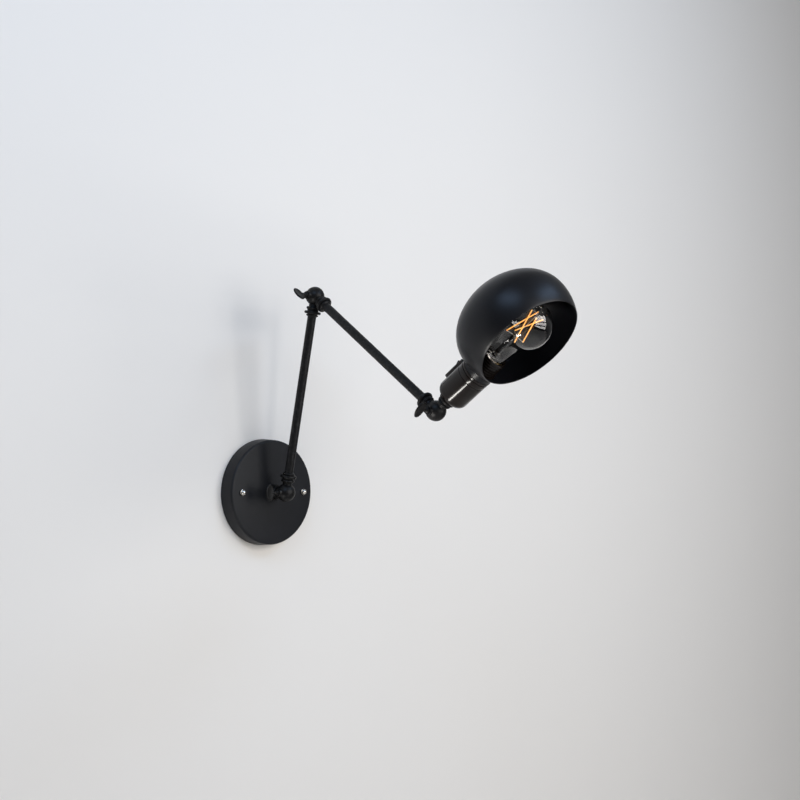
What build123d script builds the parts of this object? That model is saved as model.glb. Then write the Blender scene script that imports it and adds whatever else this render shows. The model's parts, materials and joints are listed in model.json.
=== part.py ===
from build123d import *
import math
import os

# Swing arm wall lamp, in millimetres.
# The origin is the centre of the wall plate's back, on the wall.
# X runs along the wall, Y into the wall and Z up, so the lamp stands out towards -Y.
# Every ball joint turns about a line along X, with its wing screw on the -X side.

# Wall plate
plate_diameter = 150
plate_front_diameter = 147
plate_depth = 22
plate_wall = 1.5
plate_edge_radius = 3.5
stud_spacing = 112

# Arms, between the centres of the ball joints
arm_length = 275.3
arm_1_lean = 11.3
arm_2_drop = 36.6
tube_diameter = 12
tube_wall = 1

# Head: the lampholder's rise above level, and the shade's equator below it
head_rise = 34.6
shade_equator_rise = 43
shade_entry = 82.3

# Ball joints
ball_radius = 13
joint_gap = 0.2
moving_gap = 0.3
running_gap = 0.08
wing_1_turn = 0
wing_2_turn = 45
wing_3_turn = -38

# Shade: a spherical skirt, a shoulder of smaller radius and a flatter spherical crown
shade_radius = 72.6
shade_crown_height = 56
shade_shoulder_radius = 45
shade_skirt_height = 31.8
shade_wall = 1

# Lampholder and bulb, measured from ball joint 3 along the lampholder
holder_diameter = 41
holder_joint_line = 68.6
sleeve_end = 110.5
bulb_tip = 198
bulb_radius = 30

# Threads and screws
nipple_radius = 5
nipple_bore_radius = 3.5
wing_thread_radius = 2.45
stud_radius = 2

# Distance from a ball's centre to the face that its end coupling stands on
coupling_seat = 27.4

across = Vector(1, 0, 0)
out_of_wall = Vector(0, -1, 0)
into_wall = Vector(0, 1, 0)


def raised(angle):
    """Direction in the lamp's own plane, out of the wall and raised above level by angle."""
    return Vector(0, -math.cos(math.radians(angle)), math.sin(math.radians(angle)))


arm_1_direction = raised(90 - arm_1_lean)
arm_2_direction = raised(-arm_2_drop)
head_direction = raised(head_rise)
head_top = raised(head_rise + 90)
equator_direction = raised(shade_equator_rise)
opening_direction = raised(shade_equator_rise - 90)

wall_centre = Vector(0, 0, 0)
ball_1 = out_of_wall * (plate_depth + coupling_seat)
ball_2 = ball_1 + arm_1_direction * arm_length
ball_3 = ball_2 + arm_2_direction * arm_length
shade_centre = ball_3 + head_direction * shade_entry + equator_direction * shade_radius


def square_to(start, direction, distance=0):
    """Plane across a member at a distance along it, with its first axis along X."""
    return Plane(origin=start + direction * distance, x_dir=across, z_dir=direction)


def lengthwise(start, direction):
    """Plane along a member: its first axis is the distance along, its second the radius."""
    return Plane(origin=start, x_dir=direction, z_dir=direction.cross(across))


def side_on(start, direction):
    """Plane that shows a member from the -X side, with its first axis along the member."""
    return Plane(origin=start, x_dir=direction, z_dir=-across)


def beside(centre, side, distance=0):
    """Plane square to X at a distance from a ball's centre, facing out on the given side."""
    return Plane(origin=centre + across * side * distance, x_dir=(0, 1, 0), z_dir=across * side)


def keep(piece, name):
    """Labels a finished piece and writes it."""
    piece.part.label = name
    export_step(piece.part, f"parts/{name}.step")


os.makedirs("parts", exist_ok=True)

# Mounting strap: a flat bar on the wall with two slots and two threaded holes
strap_length = 126
strap_width = 22
strap_thickness = 2
strap_corner_radius = 4
wall_slot_spacing = 64
wall_slot_length = 16
wall_slot_width = 5
cable_hole_radius = 9
earth_screw_place = 47
earth_screw_radius = 2

with BuildPart() as mounting_strap:
    with BuildSketch(Plane.XZ):
        RectangleRounded(strap_length, strap_width, strap_corner_radius)
        with Locations((-wall_slot_spacing / 2, 0), (wall_slot_spacing / 2, 0)):
            SlotOverall(wall_slot_length, wall_slot_width, mode=Mode.SUBTRACT)
        with Locations((-stud_spacing / 2, 0), (stud_spacing / 2, 0)):
            Circle(stud_radius, mode=Mode.SUBTRACT)
        with Locations((earth_screw_place, 0)):
            Circle(earth_screw_radius, mode=Mode.SUBTRACT)
        Circle(cable_hole_radius, mode=Mode.SUBTRACT)
    extrude(amount=strap_thickness)
keep(mounting_strap, "mounting_strap")

# Studs that carry the plate, screwed through the strap's ends
stud_length = 26
lock_nut_flats = 7
lock_nut_height = 3

with BuildPart() as plate_studs:
    with BuildSketch(Plane.XZ):
        with Locations((-stud_spacing / 2, 0), (stud_spacing / 2, 0)):
            Circle(stud_radius)
    extrude(amount=stud_length)
keep(plate_studs, "plate_studs")

with BuildPart() as stud_lock_nuts:
    with BuildSketch(Plane.XZ.offset(strap_thickness)):
        with Locations((-stud_spacing / 2, 0), (stud_spacing / 2, 0)):
            RegularPolygon(lock_nut_flats / 2, 6, major_radius=False)
            Circle(stud_radius, mode=Mode.SUBTRACT)
    extrude(amount=lock_nut_height)
keep(stud_lock_nuts, "stud_lock_nuts")

# Earth screw in the strap, with a pan head
earth_head_radius = 4
earth_head_height = 2.4
earth_head_rounding = 1
earth_slot_width = 0.9
earth_slot_depth = 1.2

with BuildPart() as earth_screw:
    with BuildSketch(Plane.XZ):
        with Locations((earth_screw_place, 0)):
            Circle(earth_screw_radius)
    extrude(amount=strap_thickness)
    with BuildSketch(Plane.XZ.offset(strap_thickness)):
        with Locations((earth_screw_place, 0)):
            Circle(earth_head_radius)
    extrude(amount=earth_head_height)
    fillet(earth_screw.faces().sort_by(Axis.Y)[0].edges(), earth_head_rounding)
    with BuildSketch(Plane.XZ.offset(strap_thickness + earth_head_height)):
        with Locations((earth_screw_place, 0)):
            Rectangle(2 * earth_head_radius, earth_slot_width)
    extrude(amount=-earth_slot_depth, mode=Mode.SUBTRACT)
keep(earth_screw, "earth_screw")

# Wall plate: a shallow dish, open at the back
stem_hole_radius = nipple_radius + running_gap
stud_hole_radius = 2.3

with BuildPart() as wall_plate:
    for skin, mode in ((0, Mode.ADD), (plate_wall, Mode.SUBTRACT)):
        with BuildSketch(lengthwise(wall_centre, out_of_wall)):
            with BuildLine():
                FilletPolyline(
                    (0, plate_diameter / 2 - skin),
                    (plate_depth - skin, plate_front_diameter / 2 - skin),
                    (plate_depth - skin, 0),
                    radius=plate_edge_radius - skin,
                )
                Polyline((plate_depth - skin, 0), (0, 0), (0, plate_diameter / 2 - skin))
            make_face()
        revolve(axis=Axis(wall_centre, out_of_wall), mode=mode)
    with BuildSketch(Plane.XZ.offset(plate_depth)):
        Circle(stem_hole_radius)
        with Locations((-stud_spacing / 2, 0), (stud_spacing / 2, 0)):
            Circle(stud_hole_radius)
    extrude(amount=-2 * plate_wall, mode=Mode.SUBTRACT)
keep(wall_plate, "wall_plate")

# Cap nuts on the plate's front: a hexagon with a domed cap
cap_nut_flats = 8
cap_nut_collar = 2.8
cap_nut_dome_radius = 3.9

with BuildPart() as cap_nuts:
    for side in (-1, 1):
        nut_centre = Vector(side * stud_spacing / 2, -plate_depth, 0)
        with BuildSketch(square_to(nut_centre, out_of_wall)):
            RegularPolygon(cap_nut_flats / 2, 6, major_radius=False)
        extrude(amount=cap_nut_collar)
        with BuildSketch(lengthwise(nut_centre, out_of_wall)):
            with BuildLine():
                dome = CenterArc((cap_nut_collar, 0), cap_nut_dome_radius, 0, 90)
                Polyline(dome @ 1, (0, cap_nut_dome_radius), (0, 0), dome @ 0)
            make_face()
        revolve(axis=Axis(nut_centre, out_of_wall))
        with BuildSketch(square_to(nut_centre, out_of_wall)):
            Circle(stud_radius)
        extrude(amount=stud_length - plate_depth, mode=Mode.SUBTRACT)
keep(cap_nuts, "cap_nuts")

# Terminal block: three brass-lined ways in a moulded bar, standing on the strap
block_length = 28
block_width = 12
block_height = 11
block_way_spacing = 9
block_way_radius = 1.9
block_way_height = 4.4
block_way_count = 3
block_screw_radius = 1.7
block_corner_radius = 1.5
block_place = -30

with BuildPart() as terminal_block:
    with BuildSketch(Plane.XZ.offset(strap_thickness)):
        with Locations((0, block_place)):
            RectangleRounded(block_length, block_width, block_corner_radius)
    extrude(amount=block_height)
    with BuildSketch(Plane.XY.offset(block_place - block_width / 2)):
        with Locations((0, -strap_thickness - block_way_height)):
            with GridLocations(block_way_spacing, 0, block_way_count, 1):
                Circle(block_way_radius)
    extrude(amount=block_width, mode=Mode.SUBTRACT)
    with BuildSketch(Plane.XZ.offset(strap_thickness + block_height)):
        with Locations((0, block_place)):
            with GridLocations(block_way_spacing, 0, block_way_count, 1):
                Circle(block_screw_radius)
    extrude(amount=-block_height / 2, mode=Mode.SUBTRACT)
keep(terminal_block, "terminal_block")

# Ball joint: a round neck carries each half, with a bead and a threaded spigot on its end
neck_start = 9.5
neck_radius = 6.5
bead_start = 14.8
bead_end = 18.8
bead_edge_radius = 7.9
bead_radius = 9.3
spigot_end = 25
wire_way_start = 6.4
wire_way_radius = 3.5
hollow_radius = 8.6
hollow_depth = 7
core_radius = 4.6
ring_radius = 10.5
ring_height = 1.5
thread_depth = 9
screw_boss_radius = 5.5
screw_boss_height = 15.4
screw_clearance_radius = wing_thread_radius + moving_gap


def knuckle_half(centre, direction, side):
    """One half of a ball joint, on one side of its joint plane, with its neck along direction.

    The half on the +X side has the wing screw's thread and a recess. The half on the -X side
    has a locating ring that turns in the recess, and a boss for the wing screw to press on.
    """
    face = joint_gap / 2
    turning_line = Axis(centre, across)
    own_side = Plane(origin=centre, x_dir=across * side, z_dir=Vector(0, -side, 0))
    with BuildPart() as half:
        # Half ball
        with BuildSketch(own_side):
            with BuildLine():
                rim_angle = math.degrees(math.acos(face / ball_radius))
                ball_arc = CenterArc((0, 0), ball_radius, 0, rim_angle)
                Polyline(ball_arc @ 1, (face, 0), ball_arc @ 0)
            make_face()
        revolve(axis=turning_line)
        # Neck, bead and spigot
        with BuildSketch(lengthwise(centre, direction)):
            with BuildLine():
                Polyline((neck_start, 0), (neck_start, neck_radius), (bead_start, neck_radius))
                Line((bead_start, neck_radius), (bead_start, bead_edge_radius))
                ThreePointArc(
                    (bead_start, bead_edge_radius),
                    ((bead_start + bead_end) / 2, bead_radius),
                    (bead_end, bead_edge_radius),
                )
                Polyline(
                    (bead_end, bead_edge_radius),
                    (bead_end, nipple_radius),
                    (spigot_end, nipple_radius),
                    (spigot_end, 0),
                    (neck_start, 0),
                )
            make_face()
        revolve(axis=Axis(centre, direction))
        # Room for the other half to turn beside this neck
        with BuildSketch(own_side):
            with BuildLine():
                sweep_radius = ball_radius + moving_gap
                rim_angle = math.degrees(math.acos(face / sweep_radius))
                sweep_arc = CenterArc((0, 0), sweep_radius, rim_angle, 180 - rim_angle)
                Polyline(sweep_arc @ 1, (face, 0), sweep_arc @ 0)
            make_face()
        revolve(axis=turning_line, mode=Mode.SUBTRACT)
        # Hollow for the wires, round a core for the screw
        with BuildSketch(beside(centre, side, face)):
            Circle(hollow_radius)
            Circle(core_radius, mode=Mode.SUBTRACT)
        extrude(amount=hollow_depth, mode=Mode.SUBTRACT)
        if side > 0:
            # Recess for the other half's ring, and the wing screw's thread
            with BuildSketch(beside(centre, side, face)):
                Circle(ring_radius + running_gap)
                Circle(core_radius, mode=Mode.SUBTRACT)
            extrude(amount=ring_height + joint_gap, mode=Mode.SUBTRACT)
            with BuildSketch(beside(centre, side, face)):
                Circle(wing_thread_radius + running_gap / 2)
            extrude(amount=thread_depth, mode=Mode.SUBTRACT)
        else:
            # Locating ring, boss and clearance hole
            with BuildSketch(beside(centre, side, face)):
                Circle(ring_radius)
                Circle(hollow_radius, mode=Mode.SUBTRACT)
            extrude(amount=-ring_height - face)
            with BuildSketch(beside(centre, side, hollow_depth)):
                Circle(screw_boss_radius)
            extrude(amount=screw_boss_height - hollow_depth)
            with BuildSketch(beside(centre, side, -ring_height)):
                Circle(screw_clearance_radius)
            extrude(amount=screw_boss_height + 2 * ring_height, mode=Mode.SUBTRACT)
        # Way for the wires through the neck
        with BuildSketch(square_to(centre, direction, wire_way_start)):
            Circle(wire_way_radius)
        extrude(amount=spigot_end - wire_way_start, mode=Mode.SUBTRACT)
    return half


keep(knuckle_half(ball_1, into_wall, 1), "knuckle_1_plate_half")
keep(knuckle_half(ball_1, arm_1_direction, -1), "knuckle_1_arm_half")
keep(knuckle_half(ball_2, -arm_1_direction, 1), "knuckle_2_lower_half")
keep(knuckle_half(ball_2, arm_2_direction, -1), "knuckle_2_upper_half")
keep(knuckle_half(ball_3, -arm_2_direction, 1), "knuckle_3_arm_half")
keep(knuckle_half(ball_3, head_direction, -1), "knuckle_3_head_half")

# Couplings: turned sleeves screwed on the spigots, with a groove and a flange bead
groove_end = 20.8
groove_radius = 7.8
flange_end = 24.8
flange_edge_radius = 10.2
flange_radius = 11.4
cone_start_radius = 8.4
cone_end = 28.6
cone_end_radius = 6.7
seat_collar_start = 25.4
seat_collar_radius = 9.6
seat_groove_radius = 9
tube_start = spigot_end
tube_radius = tube_diameter / 2


def coupling(centre, direction, for_tube):
    """Turned sleeve on a ball joint's spigot, with a cone for a tube or a collar for a seat."""
    seat = coupling_seat - joint_gap / 2
    with BuildPart() as sleeve:
        with BuildSketch(lengthwise(centre, direction)):
            with BuildLine():
                Polyline(
                    (bead_end, nipple_radius),
                    (bead_end, groove_radius),
                    (groove_end, groove_radius),
                    (groove_end, flange_edge_radius),
                )
                ThreePointArc(
                    (groove_end, flange_edge_radius),
                    ((groove_end + flange_end) / 2, flange_radius),
                    (flange_end, flange_edge_radius),
                )
                if for_tube:
                    Polyline(
                        (flange_end, flange_edge_radius),
                        (flange_end, cone_start_radius),
                        (cone_end, cone_end_radius),
                        (cone_end, tube_radius),
                        (tube_start, tube_radius),
                        (tube_start, nipple_radius),
                        (bead_end, nipple_radius),
                    )
                else:
                    Polyline(
                        (flange_end, flange_edge_radius),
                        (flange_end, seat_groove_radius),
                        (seat_collar_start, seat_groove_radius),
                        (seat_collar_start, seat_collar_radius),
                        (seat, seat_collar_radius),
                        (seat, nipple_radius),
                        (bead_end, nipple_radius),
                    )
            make_face()
        revolve(axis=Axis(centre, direction))
    return sleeve


keep(coupling(ball_1, into_wall, False), "plate_coupling")
keep(coupling(ball_1, arm_1_direction, True), "arm_1_lower_coupling")
keep(coupling(ball_2, -arm_1_direction, True), "arm_1_upper_coupling")
keep(coupling(ball_2, arm_2_direction, True), "arm_2_inner_coupling")
keep(coupling(ball_3, -arm_2_direction, True), "arm_2_outer_coupling")
keep(coupling(ball_3, head_direction, False), "head_coupling")


def arm_tube(start, direction):
    """Arm tube between the couplings of two ball joints."""
    with BuildPart() as tube:
        with BuildSketch(square_to(start, direction, tube_start)):
            Circle(tube_radius)
            Circle(tube_radius - tube_wall, mode=Mode.SUBTRACT)
        extrude(amount=arm_length - 2 * tube_start)
    return tube


keep(arm_tube(ball_1, arm_1_direction), "arm_1_tube")
keep(arm_tube(ball_2, arm_2_direction), "arm_2_tube")

# Wing screws: thread, pressure shoulder, stem and an oval wing
washer_radius = 5.2
washer_height = 0.8
shoulder_radius = 4
shoulder_end = 19.4
shoulder_taper = 1
stem_radius = 2.6
wing_centre = 29.2
wing_length = 23
wing_width = 14
wing_thickness = 2.6
wing_edge_radius = 1.1
thread_end = -8


def pressure_washer(centre):
    """Washer between a ball joint's boss and its wing screw's shoulder."""
    with BuildPart() as washer:
        with BuildSketch(beside(centre, -1, screw_boss_height)):
            Circle(washer_radius)
            Circle(screw_clearance_radius, mode=Mode.SUBTRACT)
        extrude(amount=washer_height)
    return washer


def wing_screw(centre, turn):
    """Wing screw through a ball joint, its wing turned from upright towards the wall."""
    turning_line = Axis(centre, across)
    shoulder_start = screw_boss_height + washer_height
    screw_plane = Plane(origin=centre, x_dir=-across, z_dir=Vector(0, 1, 0))
    wing_plane = Plane(
        origin=centre - across * wing_centre,
        x_dir=Vector(0, math.sin(math.radians(turn)), math.cos(math.radians(turn))),
        z_dir=Vector(0, math.cos(math.radians(turn)), -math.sin(math.radians(turn))),
    )
    with BuildPart() as screw:
        with BuildSketch(screw_plane):
            with BuildLine():
                Polyline(
                    (thread_end, 0),
                    (thread_end, wing_thread_radius),
                    (shoulder_start, wing_thread_radius),
                    (shoulder_start, shoulder_radius),
                    (shoulder_end - shoulder_taper, shoulder_radius),
                    (shoulder_end, stem_radius),
                    (wing_centre, stem_radius),
                    (wing_centre, 0),
                    close=True,
                )
            make_face()
        revolve(axis=turning_line)
        with BuildSketch(wing_plane):
            Ellipse(wing_length / 2, wing_width / 2)
        extrude(amount=wing_thickness / 2, both=True)
        wing_rims = screw.edges().filter_by(GeomType.ELLIPSE)
        fillet(wing_rims, wing_edge_radius)
    return screw


for number, (centre, turn) in enumerate(
    [(ball_1, wing_1_turn), (ball_2, wing_2_turn), (ball_3, wing_3_turn)], start=1
):
    keep(pressure_washer(centre), f"pressure_washer_{number}")
    keep(wing_screw(centre, turn), f"wing_screw_{number}")

# Hollow nipples that hold the lamp in the plate and the lampholder on the head coupling
lamp_washer_radius = 11
lamp_washer_height = 1.2
lamp_nut_flats = 14
lamp_nut_height = 3.5
nipple_past_nut = 2
holder_wall = 2.6
base_nipple_end = coupling_seat + plate_wall + lamp_washer_height + lamp_nut_height + nipple_past_nut
head_nipple_end = coupling_seat + holder_wall + lamp_nut_height + nipple_past_nut


def nipple(centre, direction, end):
    """Hollow threaded tube from a ball joint's spigot to a distance from the ball's centre."""
    with BuildPart() as tube:
        with BuildSketch(square_to(centre, direction, spigot_end)):
            Circle(nipple_radius)
            Circle(nipple_bore_radius, mode=Mode.SUBTRACT)
        extrude(amount=end - spigot_end)
    return tube


def lock_nut(centre, direction, start):
    """Thin hexagon nut on a nipple."""
    with BuildPart() as nut:
        with BuildSketch(square_to(centre, direction, start)):
            RegularPolygon(lamp_nut_flats / 2, 6, major_radius=False)
            Circle(nipple_radius, mode=Mode.SUBTRACT)
        extrude(amount=lamp_nut_height)
    return nut


washer_seat = coupling_seat + plate_wall + joint_gap / 2

with BuildPart() as base_washer:
    with BuildSketch(square_to(ball_1, into_wall, washer_seat)):
        Circle(lamp_washer_radius)
        Circle(nipple_radius, mode=Mode.SUBTRACT)
    extrude(amount=lamp_washer_height)
keep(base_washer, "base_washer")

keep(nipple(ball_1, into_wall, base_nipple_end), "base_nipple")
keep(lock_nut(ball_1, into_wall, washer_seat + lamp_washer_height), "base_lock_nut")
keep(nipple(ball_3, head_direction, head_nipple_end), "head_nipple")
keep(lock_nut(ball_3, head_direction, coupling_seat + holder_wall), "head_lock_nut")

# Lampholder cap: a moulded cup with a rounded bottom and a window for the switch
holder_radius = holder_diameter / 2
holder_bottom_radius = 8
cap_inner_radius = holder_radius - holder_wall
switch_start = 41
switch_end = 73
switch_half_width = 7.4
switch_frame_height = 24.2


def above_holder(height):
    """Plane over the lampholder at a height above its axis, with its first axis along it."""
    return Plane(origin=ball_3 + head_top * height, x_dir=head_direction, z_dir=head_top)


with BuildPart() as lampholder_cap:
    for skin, mode in ((0, Mode.ADD), (holder_wall, Mode.SUBTRACT)):
        with BuildSketch(lengthwise(ball_3, head_direction)):
            with BuildLine():
                FilletPolyline(
                    (coupling_seat + skin, 0),
                    (coupling_seat + skin, holder_radius - skin),
                    (holder_joint_line, holder_radius - skin),
                    radius=holder_bottom_radius - skin,
                )
                Polyline(
                    (holder_joint_line, holder_radius - skin),
                    (holder_joint_line, 0),
                    (coupling_seat + skin, 0),
                )
            make_face()
        revolve(axis=Axis(ball_3, head_direction), mode=mode)
    with BuildSketch(square_to(ball_3, head_direction, coupling_seat)):
        Circle(nipple_radius)
    extrude(amount=holder_wall, mode=Mode.SUBTRACT)
    with BuildSketch(above_holder(0)):
        with Locations(((switch_start + switch_end) / 2, 0)):
            Rectangle(switch_end - switch_start, 2 * switch_half_width)
    extrude(amount=holder_diameter, mode=Mode.SUBTRACT)
keep(lampholder_cap, "lampholder_cap")

# Lampholder body: a spigot in the cap, a band, a groove, a lip, and a ridged sleeve in the shade
band_end = 75.6
lip_start = 76.8
lip_end = 79.6
lip_radius = 20.8
lip_groove_radius = 19.6
band_bevel = 0.4
body_spigot_start = 62
sleeve_radius = 17
sleeve_bore_radius = 14.9
body_floor_start = 72
body_floor_end = 75
ridge_height = 0.6
ridge_pitch = 3.4
ridge_width = 1.7
first_ridge = 90.5
ridge_count = 6
band_radius = holder_radius

with BuildPart() as lampholder_body:
    with BuildSketch(lengthwise(ball_3, head_direction)):
        with BuildLine():
            Polyline(
                (body_spigot_start, sleeve_bore_radius),
                (body_spigot_start, cap_inner_radius),
                (holder_joint_line, cap_inner_radius),
                (holder_joint_line, band_radius - band_bevel),
                (holder_joint_line + band_bevel, band_radius),
                (band_end - band_bevel, band_radius),
                (band_end, band_radius - band_bevel),
                (band_end, lip_groove_radius),
                (lip_start, lip_groove_radius),
                (lip_start, lip_radius - band_bevel),
                (lip_start + band_bevel, lip_radius),
                (lip_end - band_bevel, lip_radius),
                (lip_end, lip_radius - band_bevel),
                (lip_end, sleeve_radius),
                (sleeve_end, sleeve_radius),
                (sleeve_end, sleeve_bore_radius),
                close=True,
            )
        make_face()
    revolve(axis=Axis(ball_3, head_direction))
    with BuildSketch(lengthwise(ball_3, head_direction)):
        for ridge in range(ridge_count):
            with Locations((first_ridge + ridge * ridge_pitch, sleeve_radius)):
                Rectangle(ridge_width, 2 * ridge_height)
    revolve(axis=Axis(ball_3, head_direction))
    with BuildSketch(square_to(ball_3, head_direction, body_floor_start)):
        Circle(sleeve_bore_radius)
    extrude(amount=body_floor_end - body_floor_start)
    with BuildSketch(above_holder(0)):
        with Locations(((switch_start + switch_end) / 2, 0)):
            Rectangle(switch_end - switch_start, 2 * switch_half_width)
    extrude(amount=holder_diameter, mode=Mode.SUBTRACT)
keep(lampholder_body, "lampholder_body")

# Ceramic insert, screw shell and centre contact inside the sleeve
insert_end = 80
insert_radius = sleeve_bore_radius - running_gap
shell_radius = 14.3
shell_wall = 0.5
shell_end = 108.5
contact_width = 7
contact_end = 85.7

with BuildPart() as ceramic_insert:
    with BuildSketch(square_to(ball_3, head_direction, body_floor_end)):
        Circle(insert_radius)
    extrude(amount=insert_end - body_floor_end)
keep(ceramic_insert, "ceramic_insert")

with BuildPart() as screw_shell:
    with BuildSketch(square_to(ball_3, head_direction, insert_end)):
        Circle(shell_radius)
        Circle(shell_radius - shell_wall, mode=Mode.SUBTRACT)
    extrude(amount=shell_end - insert_end)
keep(screw_shell, "screw_shell")

contact_thickness = 0.5

with BuildPart() as centre_contact:
    with BuildSketch(side_on(ball_3, head_direction)):
        with BuildLine():
            foot_line = insert_end + contact_thickness / 2
            top_line = contact_end - contact_thickness / 2
            Polyline(
                (foot_line, -contact_width),
                (foot_line, 0),
                (top_line, contact_width / 2),
                (top_line, -contact_width / 2),
            )
        trace(line_width=contact_thickness)
    extrude(amount=contact_width / 2, both=True)
keep(centre_contact, "centre_contact")

# Switch on top of the lampholder cap: a frame with a pocket, a pin and a rocker
switch_floor = 11.5
switch_floor_thickness = 1
switch_corner_radius = 1.6
pocket_half_width = 5.4
pocket_reach = 12.8
pin_place = (switch_start + switch_end) / 2
pin_height = 18.6
pin_radius = 1.2
pin_inset = 0.4
rocker_reach = 12.4
rocker_half_width = pocket_half_width - moving_gap
rocker_valley = 4.6
rocker_tip_angle = 34
rocker_foot_angle = -12
rocker_tilt = 8
rocker_pin = ball_3 + head_direction * pin_place + head_top * pin_height

with BuildPart() as switch_frame:
    with BuildSketch(square_to(ball_3, head_direction, switch_start)):
        with Locations((0, (switch_floor + switch_frame_height) / 2)):
            Rectangle(2 * switch_half_width, switch_frame_height - switch_floor)
    extrude(amount=switch_end - switch_start)
    frame_top = switch_frame.faces().sort_by(Axis(ball_3, head_top))[-1]
    fillet(frame_top.edges(), switch_corner_radius)
    with BuildSketch(above_holder(switch_frame_height)):
        with Locations((pin_place, 0)):
            Rectangle(2 * pocket_reach, 2 * pocket_half_width)
    extrude(amount=switch_floor + switch_floor_thickness - switch_frame_height, mode=Mode.SUBTRACT)
    with BuildSketch(beside(rocker_pin, 1, -switch_half_width)):
        Circle(pin_radius)
    extrude(amount=2 * switch_half_width, mode=Mode.SUBTRACT)
keep(switch_frame, "switch_frame")

with BuildPart() as rocker_pin_rod:
    with BuildSketch(beside(rocker_pin, 1, pin_inset - switch_half_width)):
        Circle(pin_radius)
    extrude(amount=2 * (switch_half_width - pin_inset))
keep(rocker_pin_rod, "rocker_pin")

with BuildPart() as switch_rocker:
    with BuildSketch(side_on(rocker_pin, raised(head_rise + rocker_tilt))):
        with BuildLine():
            tip_arc = CenterArc(
                (0, 0), rocker_reach, rocker_foot_angle, rocker_tip_angle - rocker_foot_angle
            )
            back_arc = CenterArc(
                (0, 0),
                rocker_reach,
                180 - rocker_tip_angle,
                rocker_tip_angle - rocker_foot_angle,
            )
            Polyline(tip_arc @ 1, (0, rocker_valley), back_arc @ 0)
            Line(back_arc @ 1, tip_arc @ 0)
        make_face()
        Circle(pin_radius + running_gap, mode=Mode.SUBTRACT)
    extrude(amount=rocker_half_width, both=True)
keep(switch_rocker, "switch_rocker")

# Shade: a spun bowl, open towards the room, with a short neck that sits on the lampholder's lip
neck_outer_radius = 20.4
neck_inner_radius = 19.4
seat_thickness = 1.2
seat_gap = 0.2
seat_hole_radius = sleeve_radius + seat_gap
neck_depth = 14
shoulder_offset = shade_radius - shade_shoulder_radius
crown_radius = (
    shoulder_offset**2 + shade_crown_height**2 - shade_shoulder_radius**2
) / (2 * (shade_crown_height - shade_shoulder_radius))
crown_offset = crown_radius - shade_crown_height
shoulder_turn = 90 + math.degrees(math.atan2(crown_offset, shoulder_offset))


def shade_solid(skin):
    """The bowl filled up to its rim, smaller by a skin thickness."""
    skirt_turn = math.degrees(math.asin(shade_skirt_height / (shade_radius - skin)))
    with BuildPart() as bowl:
        with BuildSketch(lengthwise(shade_centre, opening_direction)):
            with BuildLine():
                skirt = CenterArc((0, 0), shade_radius - skin, 90 - skirt_turn, skirt_turn)
                CenterArc(
                    (0, shoulder_offset), shade_shoulder_radius - skin, 90, shoulder_turn - 90
                )
                crown = CenterArc(
                    (crown_offset, 0), crown_radius - skin, shoulder_turn, 180 - shoulder_turn
                )
                Polyline(skirt @ 0, (shade_skirt_height, 0), crown @ 1)
            make_face()
        revolve(axis=Axis(shade_centre, opening_direction))
    return bowl.part


with BuildPart() as shade:
    add(shade_solid(0))
    with BuildSketch(square_to(ball_3, head_direction, lip_end)):
        Circle(neck_outer_radius)
    extrude(amount=neck_depth)
    add(shade_solid(shade_wall), mode=Mode.SUBTRACT)
    with BuildSketch(square_to(ball_3, head_direction, lip_end + seat_thickness)):
        Circle(neck_inner_radius)
    extrude(amount=neck_depth, mode=Mode.SUBTRACT)
    with BuildSketch(square_to(ball_3, head_direction, lip_end)):
        Circle(seat_hole_radius)
    extrude(amount=seat_thickness, mode=Mode.SUBTRACT)
keep(shade, "shade")

# Shade ring: screwed down the sleeve onto the shade's seat, with finger notches
shade_ring_start = lip_end + seat_thickness
shade_ring_end = 88
shade_ring_gap = 0.4
shade_ring_radius = neck_inner_radius - shade_ring_gap
ring_notch_count = 8
ring_notch_radius = 1.2

with BuildPart() as shade_ring:
    with BuildSketch(square_to(ball_3, head_direction, shade_ring_start)):
        Circle(shade_ring_radius)
        Circle(sleeve_radius, mode=Mode.SUBTRACT)
    extrude(amount=shade_ring_end - shade_ring_start)
    with BuildSketch(square_to(ball_3, head_direction, shade_ring_end)):
        with PolarLocations(shade_ring_radius, ring_notch_count):
            Circle(ring_notch_radius)
    extrude(amount=(shade_ring_start - shade_ring_end) / 2, mode=Mode.SUBTRACT)
keep(shade_ring, "shade_ring")

# Bulb base: contact, insulator and screw base
bulb_length = 112
base_start = bulb_tip - bulb_length
base_contact_height = 0.8
base_contact_end = base_start + base_contact_height
base_contact_radius = 4.8
insulator_start_radius = 5.4
insulator_height = 5.4
insulator_end = base_start + insulator_height
insulator_radius = 12
insulator_rim = 1
base_radius = 13.2
base_wall = 0.4
base_shoulder = 1.4
base_height = 23.4
base_end = base_start + base_height
glass_wall = 0.7

with BuildPart() as bulb_contact:
    with BuildSketch(square_to(ball_3, head_direction, base_start)):
        Circle(base_contact_radius)
    extrude(amount=base_contact_end - base_start)
keep(bulb_contact, "bulb_contact")

with BuildPart() as bulb_insulator:
    with BuildSketch(lengthwise(ball_3, head_direction)):
        with BuildLine():
            Polyline(
                (base_contact_end, 0),
                (base_contact_end, insulator_start_radius),
                (insulator_end, insulator_radius),
                (insulator_end + insulator_rim, insulator_radius),
                (insulator_end + insulator_rim, 0),
                close=True,
            )
        make_face()
    revolve(axis=Axis(ball_3, head_direction))
keep(bulb_insulator, "bulb_insulator")

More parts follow.
